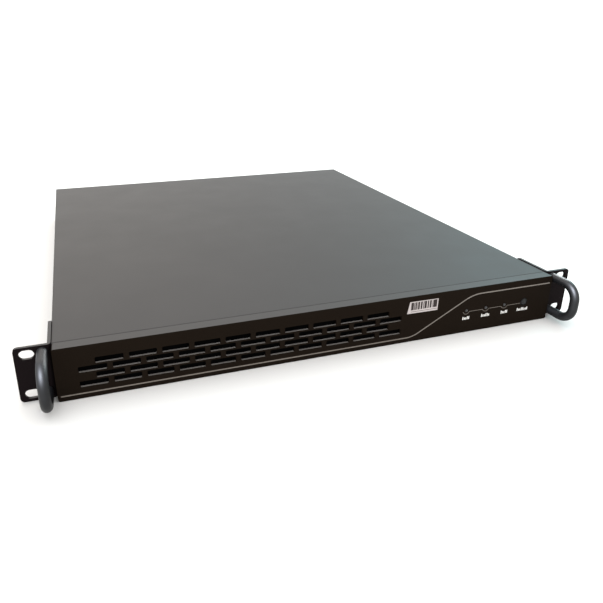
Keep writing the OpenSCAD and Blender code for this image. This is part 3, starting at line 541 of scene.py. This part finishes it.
for side in ("left", "right"):
    node = side + "_handle"
    low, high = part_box(node)
    centre_x = (low.x + high.x) / 2
    bar_radius = (high.x - low.x) / 2
    top, bottom = high.z - bar_radius, low.z + bar_radius
    grip_y = low.y + bar_radius
    bow = bmesh.new()
    bmesh.ops.create_circle(
        bow, cap_ends=True, radius=bar_radius, segments=bar_sides,
        matrix=Matrix.Translation((centre_x, high.y, top)) @ Matrix.Rotation(math.pi / 2, 4, "X"),
    )
    tip = bow.faces[:]
    for move in ("arm", "bend", "grip", "bend", "arm"):
        at = tip[0].calc_center_median()
        upper = at.z > (top + bottom) / 2
        if move == "bend":
            middle = top - bow_bend if upper else bottom + bow_bend
            spun = bmesh.ops.spin(
                bow, geom=tip, cent=(centre_x, grip_y + bow_bend, middle), axis=(1, 0, 0),
                angle=math.pi / 2, steps=bend_rings, use_duplicate=False,
            )
            tip = [g for g in spun["geom_last"] if isinstance(g, bmesh.types.BMFace)]
            continue
        if move == "grip":
            step = Vector((0, 0, bottom + bow_bend - at.z))
        elif upper:
            step = Vector((0, grip_y + bow_bend - at.y, 0))
        else:
            step = Vector((0, high.y - at.y, 0))
        grown = bmesh.ops.extrude_face_region(bow, geom=tip)["geom"]
        bmesh.ops.translate(
            bow, verts=[g for g in grown if isinstance(g, bmesh.types.BMVert)], vec=step
        )
        bmesh.ops.delete(bow, geom=[f for f in tip if f.is_valid], context="FACES_ONLY")
        tip = [g for g in grown if isinstance(g, bmesh.types.BMFace)]
    bmesh.ops.remove_doubles(bow, verts=bow.verts[:], dist=1e-6)
    bmesh.ops.holes_fill(bow, edges=bow.edges[:], sides=bar_sides)
    bmesh.ops.recalc_face_normals(bow, faces=bow.faces[:])
    piece(bow, side + "_grip", handle_enamel, "handle_paint", node, spread=50)

# ---- Lamp board and switch ----
# A small laminate board behind the panel carries the lamps, the switch and the lead's plug.

track_wide, track_pitch, track_run = 0.3 * mm, 1.1 * mm, 8 * mm
track_block = 5 * mm


def laminate(name, mask, track):
    """Glass-epoxy board under solder mask, with tracks that show as slightly paler lines."""
    made = surface(name, mask, 0.3, 3.0, 0.004)
    tree = made.node_tree
    shader = tree.nodes["Principled BSDF"]
    ground_tone = shader.inputs["Base Color"].links[0].from_socket
    place = add(tree, "ShaderNodeTexCoord", {}, {})
    grid = add(
        tree, "ShaderNodeTexBrick", {"offset": 0.37},
        {"Vector": place.outputs["Object"], "Scale": 1 / track_block,
         "Mortar Size": track_wide / 2 / track_block, "Brick Width": track_run / track_block,
         "Row Height": track_pitch / track_block, "Color1": (0, 0, 0, 1),
         "Color2": (0, 0, 0, 1), "Mortar": (1, 1, 1, 1)},
    )
    tracks = add(
        tree, "ShaderNodeMix", {"data_type": "RGBA"},
        {"Factor": grid.outputs["Color"], 6: ground_tone, 7: linear(track)},
    )
    tree.links.new(tracks.outputs[2], shader.inputs["Base Color"])
    return made


def dress(finish, *nodes):
    """Gives CAD nodes that stay in view their finish."""
    for node in nodes:
        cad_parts[node].data.materials.clear()
        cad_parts[node].data.materials.append(finish)


# Green solder mask over copper: the tracks are drawn 0.3 mm wide, about a millimetre apart.
green_board = laminate("green_solder_mask", "#123c2a", "#1f5a3e")
# Moulded black nylon: smooth and dull.
black_nylon = surface("moulded_nylon", "#161616", 0.5, 1.5, 0.02)
dress(green_board, "front_board")
dress(black_nylon, "button_switch")

# ---- Leads ----
# Bundles of wires in braided black sleeving, from the lamp board and from the power supply.

# Braided polyester sleeve: matt black, with the weave drawn a millimetre wide.
braid = surface("braided_sleeve", "#121213", 0.7, 1.0, 0.25, spread=0.2)
dress(braid, "panel_lead", "power_lead")

# ---- Chassis fans ----
# Four 40 mm fans in a zinc-plated bracket. Each rotor is one moulding: a hub with seven blades.

blade_count = 7
blade_sweep, blade_rings = math.radians(38), 6
blade_wall, blade_drop = 1.1 * mm, 5 * mm
hub_share, hub_crown = 0.54, 1 * mm
tip_clearance = 2 * mm
running_gap = 0.2 * mm

# Zinc-plated steel sheet: bright, bluish, with soft streaks from the bath.
zinc_plate = surface("zinc_plated_sheet", "#a0a4a8", 0.38, 3.0, 0.008, spread=0.09, metal=1.0)
# Glass-filled PBT: black, with a dull grain off the mould.
fan_plastic = surface("glass_filled_pbt", "#1b1b1c", 0.45, 1.0, 0.02)

sheet_edge, moulded_edge = 0.15 * mm, 0.3 * mm
eased(
    piece(merged("fan_bracket"), "fan_mount", zinc_plate, "chassis_sheet", "fan_bracket"),
    sheet_edge, steps=1,
)
for i in range(1, 5):
    node = f"fan_frame_{i}"
    case = piece(merged(node), f"fan_case_{i}", fan_plastic, "black_plastic", node)
    eased(case, moulded_edge, steps=1)


def rotor(node, name, body):
    """A fan rotor in the space of its CAD node: a round-edged hub with blades swept round it."""
    low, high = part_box(node)
    centre_x, centre_z = (low.x + high.x) / 2, (low.z + high.z) / 2
    tip_radius = min(high.x - low.x, high.z - low.z) / 2 - running_gap
    hub_radius = hub_share * (tip_radius + tip_clearance)
    blade_front, hub_back = low.y + hub_crown, high.y - running_gap
    hub = turned(
        [(0, low.y), (hub_radius - hub_crown, low.y), (hub_radius - 0.3 * mm, low.y + 0.3 * mm),
         (hub_radius, blade_front), (hub_radius, hub_back), (0, hub_back)],
        centre_x, centre_z,
    )
    blades = bmesh.new()
    for i in range(blade_count):
        turn = 2 * math.pi * i / blade_count
        out = Vector((math.cos(turn), 0, math.sin(turn)))
        root = Vector((centre_x, blade_front, centre_z)) + out * (hub_radius - 0.4 * mm)
        tip = Vector((centre_x, blade_front, centre_z)) + out * tip_radius
        ends = [blades.verts.new(root), blades.verts.new(tip)]
        bmesh.ops.spin(
            blades, geom=ends + [blades.edges.new(ends)], cent=(centre_x, 0, centre_z),
            axis=(0, 1, 0), angle=blade_sweep, steps=blade_rings,
            dvec=(0, (high.y - low.y - blade_drop) / blade_rings, 0), use_duplicate=False,
        )
    bmesh.ops.solidify(blades, geom=blades.faces[:], thickness=blade_wall)
    bmesh.ops.recalc_face_normals(blades, faces=blades.faces[:])
    piece(joined([hub, blades]), name, fan_plastic, "rotor_plastic", node, body=body, spread=40)


for i in range(1, 5):
    rotor(f"fan_rotor_{i}", f"fan_wheel_{i}", f"rotor_{i}")

# ---- Disk drive ----
# A 2.5-inch drive under an aluminium lid, screwed to a folded bracket.

# Anodised aluminium casting: dull dark metal with a fine blasted grain.
drive_metal = surface("anodised_casting", "#55585b", 0.5, 0.8, 0.02, metal=0.8)
dress(zinc_plate, "disk_bracket")
casting_edge = 0.5 * mm
eased(piece(merged("disk_drive"), "drive", drive_metal, "drive_case", "disk_drive"), casting_edge)

# ---- Mainboard ----
# A laminate board on brass standoffs, with the processor under an extruded heatsink, two
# memory modules held by end latches, and rows of chips.

board_low, board_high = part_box("mainboard")

# Turned brass, left bright.
brass = surface("turned_brass", "#c9a35c", 0.3, 1.0, 0.004, metal=1.0)
# Extruded aluminium with a satin clear anodising.
extrusion = surface("anodised_extrusion", "#c3c6c9", 0.4, 0.6, 0.01, metal=1.0)
# Nickel plate over copper: bright and slightly warm.
nickel = surface("nickel_plate", "#c8c4bc", 0.25, 4.0, 0.002, metal=1.0)
# Moulded ivory nylon of the latches and plugs.
ivory_nylon = surface("ivory_nylon", "#cfc7b0", 0.45, 1.5, 0.02)
# Epoxy moulding compound of the chips: near black, with a fine matt texture.
chip_epoxy = surface("chip_epoxy", "#1a1b1c", 0.6, 0.5, 0.02)

dress(green_board, "mainboard", "memory_modules")
dress(brass, "standoffs")
dress(nickel, "processor")
dress(black_nylon, "memory_sockets")
dress(ivory_nylon, "power_socket")
eased(
    piece(merged("heatsink"), "fin_block", extrusion, "aluminium", "heatsink"), sheet_edge, steps=1
)
latch_edge = 0.2 * mm
for i in range(1, 5):
    node = f"memory_latch_{i}"
    lever = piece(
        merged(node), f"latch_lever_{i}", ivory_nylon, "ivory_plastic", node, body=f"latch_{i}"
    )
    eased(lever, latch_edge, steps=1)


def box_part(shape, middle, size, ease):
    """Adds a block with eased edges to a bmesh."""
    made = bmesh.ops.create_cube(
        shape, size=1, matrix=Matrix.LocRotScale(middle, None, Vector(size))
    )
    edges = list({e for v in made["verts"] for e in v.link_edges})
    bmesh.ops.bevel(
        shape, geom=edges, offset=ease, segments=2, profile=0.5, affect="EDGES", material=-1
    )


# Each chip's place across and along the board, its width and its length, in millimetres.
chip_places = [
    (60, 30, 14, 14), (150, 28, 20, 20), (178, 60, 10, 10), (60, 70, 8, 12), (60, 100, 12, 8),
    (160, 90, 14, 14), (180, 110, 8, 6), (150, 130, 10, 8), (60, 130, 14, 10),
]
chip_height, chip_edge = 1.2 * mm, 0.15 * mm
chips = bmesh.new()
for x, y, wide, long in chip_places:
    at = Vector((x * mm, board_low.y + y * mm, board_high.z + chip_height / 2))
    box_part(chips, at, (wide * mm, long * mm, chip_height), chip_edge)
piece(chips, "board_chips", chip_epoxy, None)

# ---- Rear sockets ----
# Seven eight-pin network jacks in nickel-plated shells with gilt contacts, two stacked bus
# sockets and a video socket, all soldered to the mainboard and let out through the rear panel.

jack_pitch = 16 * mm
jack_count = 6
well_wide, well_tall = 11.6 * mm, 7.4 * mm
well_back, well_front = 13.7 * mm, 0.6 * mm
well_floor = 4.2 * mm
lining_back, lining_roof, lining_edge = 0.5 * mm, 0.6 * mm, 0.1 * mm
contact_count = 8
contact_pitch = 1.02 * mm
contact_wire = 0.36 * mm
contact_root = 4.2 * mm
contact_slope, contact_tip = (0, 6.5 * mm, 2.6 * mm), (0, 3.5 * mm, 0.7 * mm)

# Gold flash over nickel.
gilt = surface("gold_flash", "#e0b04e", 0.22, 2.0, 0.0, metal=1.0)
# Tinned steel shell, lightly brushed.
shell_tin = surface("tinned_shell", "#bfc1c3", 0.28, 0.7, 0.008, metal=1.0)

for node in ("network_ports", "console_port", "usb_ports", "video_port"):
    shells = piece(merged(node), node + "_shells", shell_tin, "plated_shell", node)
    eased(shells, sheet_edge, steps=1)

ports_low, ports_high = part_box("network_ports")
console_low, console_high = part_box("console_port")
jack_width = ports_high.x - ports_low.x - (jack_count - 1) * jack_pitch
jack_middles = [ports_low.x + jack_width / 2 + i * jack_pitch for i in range(jack_count)]
jack_middles.append((console_low.x + console_high.x) / 2)

linings = bmesh.new()
contacts = bmesh.new()
for x in jack_middles:
    back_y, front_y = ports_high.y - well_back, ports_high.y - well_front
    floor_z = ports_low.z + well_floor
    roof_z = floor_z + well_tall
    box_part(
        linings, Vector((x, back_y + 0.2 * mm, (floor_z + roof_z) / 2)),
        (well_wide, lining_back, well_tall - lining_edge), lining_edge,
    )
    box_part(
        linings, Vector((x, (back_y + front_y) / 2, roof_z - 0.35 * mm)),
        (well_wide, front_y - back_y, lining_roof), lining_edge,
    )
    for k in range(contact_count):
        contact_x = x + (k - (contact_count - 1) / 2) * contact_pitch
        at = Vector((contact_x, back_y + lining_roof, roof_z - contact_root))
        edge = strip_start(contacts, at, Vector((contact_wire / 2, 0, 0)))
        edge = strip_on(contacts, edge, contact_slope)
        strip_on(contacts, edge, contact_tip)
bmesh.ops.solidify(contacts, geom=contacts.faces[:], thickness=contact_wire)
bmesh.ops.recalc_face_normals(contacts, faces=contacts.faces[:])
piece(linings, "jack_linings", black_nylon, None)
piece(contacts, "jack_contacts", gilt, None)

# ---- Expansion slot cover ----
# A blanking plate screwed behind the slot until a card is fitted.

eased(
    piece(merged("expansion_cover"), "slot_blank", zinc_plate, "chassis_sheet", "expansion_cover"),
    0.2 * mm, steps=1,
)

# ---- Power supply ----
# A sealed supply in a zinc-plated case: board, transformer, capacitors and a fan that blows
# out of the rear, with a three-pin inlet and a rocker switch beside it.

# Phenolic board with a brown mask.
brown_board = laminate("phenolic_board", "#4a3218", "#6a4a26")
# Yellow polyester tape round the transformer.
yellow_tape = surface("polyester_tape", "#b58d24", 0.35, 5.0, 0.01)
# Shrunk PVC sleeve on the capacitors.
black_sleeve = surface("pvc_sleeve", "#15161c", 0.3, 6.0, 0.01)

supply_case = piece(
    merged("power_supply_case"), "supply_case", zinc_plate, "chassis_sheet", "power_supply_case"
)
eased(supply_case, sheet_edge, steps=1)
dress(zinc_plate, "power_supply_lid")
dress(brown_board, "power_supply_board")
dress(yellow_tape, "transformer")
dress(black_sleeve, "capacitors")
supply_fan_case = piece(
    merged("supply_fan_frame"), "supply_fan_case", fan_plastic, "black_plastic", "supply_fan_frame"
)
eased(supply_fan_case, moulded_edge, steps=1)
rotor("supply_fan_rotor", "supply_fan_wheel", "supply_rotor")

# Polycarbonate of the inlet and the rocker: black, with a low even sheen.
polycarbonate = surface("polycarbonate", "#141415", 0.32, 2.0, 0.006)
rim_edge, pin_edge, key_edge = 0.25 * mm, 0.3 * mm, 0.4 * mm
eased(
    piece(merged("mains_inlet"), "inlet", polycarbonate, "black_plastic", "mains_inlet"), rim_edge
)
eased(piece(merged("inlet_pins"), "inlet_blades", nickel, "brass", "inlet_pins"), pin_edge)
eased(
    piece(
        merged("rocker_housing"), "rocker_frame", polycarbonate, "black_plastic", "rocker_housing"
    ),
    rim_edge,
)
eased(
    piece(
        merged("rocker_switch"), "rocker_key", polycarbonate, "rotor_plastic", "rocker_switch",
        body="rocker",
    ),
    key_edge,
)

# ---- Screws ----
# Cross-recessed steel screws: blackened on the ears and handles, bright zinc elsewhere.

# Black oxide on steel: dark, oily, low sheen.
black_oxide = surface("black_oxide", "#1a1a1b", 0.42, 0.5, 0.01, metal=0.5)
# Zinc-plated steel, bright.
zinc_screw = surface("zinc_plated_screw", "#b9bcc0", 0.3, 0.5, 0.01, metal=1.0)

screw_finishes = {
    "handle_screws": (black_oxide, "black_screw"),
    "ear_screws": (black_oxide, "black_screw"),
    "board_screws": (zinc_screw, "screw_steel"),
    "disk_screws": (zinc_screw, "screw_steel"),
    "fan_screws": (zinc_screw, "screw_steel"),
}
screw_edge = 0.12 * mm
for node, (finish, slot) in screw_finishes.items():
    eased(piece(merged(node), node + "_set", finish, slot, node), screw_edge, steps=1)

# ---- Top cover ----
# One sheet of steel with a skirt inside either wall and two tabs over the rear panel.
# Two knurled thumbscrews hold it. Undone, they let it slide back and lift off.

cover_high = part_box("top_cover")[1]
fold_radius = 0.9 * mm
fold_shortest = 300 * mm
touching = 0.1 * mm

sheet = merged("top_cover")
folds = [
    e for e in sheet.edges
    if e.calc_length() > fold_shortest
    and all(v.co.z > cover_high.z - touching for v in e.verts)
    and all(abs(v.co.x) > cover_high.x - touching for v in e.verts)
]
bmesh.ops.bevel(
    sheet, geom=folds, offset=fold_radius, segments=4, profile=0.5, affect="EDGES", material=-1
)
eased(
    piece(sheet, "cover_sheet", case_paint, "cover_paint", "top_cover", body="cover"), folded_edge
)

thumb_low, thumb_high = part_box("cover_screws")
head_radius = (thumb_high.z - thumb_low.z) / 2
head_depth = 7.4 * mm
shank_radius = 1.5 * mm
knurls, knurl_depth = 28, 0.3 * mm


def thumbscrew(x):
    """A thumbscrew: a shank and a knurled head with a rounded rim."""
    z = (thumb_low.z + thumb_high.z) / 2
    face_y = thumb_high.y
    back_y = face_y - head_depth
    rim_radius = head_radius - 0.35 * mm
    rim_y = back_y + 0.6 * mm
    dimple_y = face_y - 0.6 * mm
    shape = turned(
        [(0, thumb_low.y), (shank_radius, thumb_low.y), (shank_radius, back_y),
         (head_radius - 1 * mm, back_y), (rim_radius, rim_y),
         (rim_radius, face_y - 0.8 * mm), (head_radius - 1.1 * mm, face_y),
         (1.2 * mm, face_y), (0.9 * mm, dimple_y), (0, dimple_y)],
        x, z, segments=2 * knurls,
    )
    rim = []
    for face in shape.faces:
        at = face.calc_center_median()
        out = math.hypot(at.x - x, at.z - z)
        if abs(face.normal.y) < 0.3 and at.y > rim_y and out > head_radius - 0.6 * mm:
            rim.append(face)
    bmesh.ops.inset_individual(shape, faces=rim[::2], thickness=0.12 * mm, depth=knurl_depth)
    return shape


heads = [thumb_low.x + head_radius, thumb_high.x - head_radius]
piece(
    joined([thumbscrew(x) for x in heads]), "thumbscrews", zinc_screw, "screw_steel",
    "cover_screws", body="cover", spread=35,
)

# ---- Stage ----
# A plain pale floor and soft studio light: a white panel overhead and tinted panels behind the
# cover. A window to the front left and a skylight behind only draw highlights on the handles.

# Matt pale paint, plain enough to leave only the object's soft shadow.
floor_paint = surface("pale_floor", "#e9e8e6", 0.9, 40.0, 0.0, spread=0.0, specular=0.1)
floor_reach, floor_drop = 12, 0.3 * mm
ground = bmesh.new()
bmesh.ops.create_grid(ground, x_segments=1, y_segments=1, size=floor_reach)
bmesh.ops.translate(ground, verts=ground.verts[:], vec=(0, 0, -floor_drop))
floor_mesh = bpy.data.meshes.new("floor")
ground.to_mesh(floor_mesh)
ground.free()
floor_mesh.materials.append(floor_paint)
floor = bpy.data.objects.new("floor", floor_mesh)
bpy.context.scene.collection.objects.link(floor)

sky_glow = 1.5
sky = bpy.data.worlds.new("studio")
sky.use_nodes = True
sky.node_tree.nodes["Background"].inputs["Color"].default_value = (1, 1, 1, 1)
sky.node_tree.nodes["Background"].inputs["Strength"].default_value = sky_glow
bpy.context.scene.world = sky


def softbox(name, turn, rise, away, size, glow, shade):
    """A light panel that faces the object: turn and rise in degrees, turn counted from the rear."""
    light = bpy.data.lights.new(name, "AREA")
    light.shape = "RECTANGLE"
    light.size, light.size_y = size
    light.energy = glow * math.pi * size[0] * size[1]
    light.color = linear(shade)[:3]
    lamp = bpy.data.objects.new(name, light)
    bpy.context.scene.collection.objects.link(lamp)
    turn, rise = math.radians(turn), math.radians(rise)
    lamp.location = Vector(
        (math.sin(turn) * math.cos(rise), math.cos(turn) * math.cos(rise), math.sin(rise))
    ) * away
    lamp.rotation_euler = (-lamp.location).to_track_quat("-Z", "Y").to_euler()
    lamp.visible_camera = False
    return lamp


softbox("overhead", 0, 84, 2.4, (2.4, 2.0), 0.6, "#ffffff")
softbox("warm_panel", -18, 36, 3.0, (2.6, 0.9), 2.6, "#ffeeda")
softbox("teal_panel", 66, 26, 3.0, (1.5, 1.1), 5.8, "#98f2ff")
grips = bpy.data.collections.new("grips")
for side in ("left", "right"):
    grips.objects.link(bpy.data.objects[side + "_grip"])
for glint in (
    softbox("window", 216, 44, 2.6, (1.8, 1.4), 84, "#eaf0ff"),
    softbox("skylight", 46, 26, 2.6, (1.5, 1.2), 17, "#ffffff"),
):
    glint.light_linking.receiver_collection = grips
    glint.visible_diffuse = False
